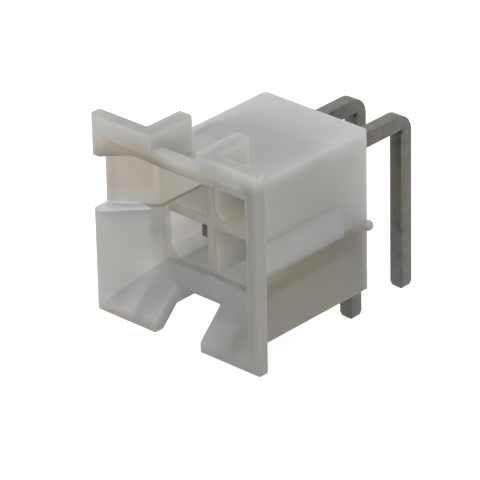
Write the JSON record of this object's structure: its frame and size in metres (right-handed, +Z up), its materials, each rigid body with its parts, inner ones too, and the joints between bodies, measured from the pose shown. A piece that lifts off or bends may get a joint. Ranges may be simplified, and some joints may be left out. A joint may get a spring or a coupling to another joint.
{
  "type": "right-angle board header with square flared mating funnel",
  "caption": "Right-angle header for a circuit board: translucent plastic body with a square flared funnel, keyed cells and bent square contact pins.",
  "frame": {"origin": "middle of the board face, in the plane of the mouth's front face", "axes": "+X across the contacts, away from the keyway; +Y from the mouth towards the bent legs; +Z up from the board"},
  "size_m": [0.015, 0.0214, 0.0187],
  "materials": {
    "nylon": "natural translucent nylon, satin",
    "tin": "matte tin plating over brass wire"
  },
  "bodies": {
    "root": {"housing": "nylon", "upper_left_pin": "tin", "upper_right_pin": "tin", "lower_left_pin": "tin", "lower_right_pin": "tin"}
  },
  "joints": []
}
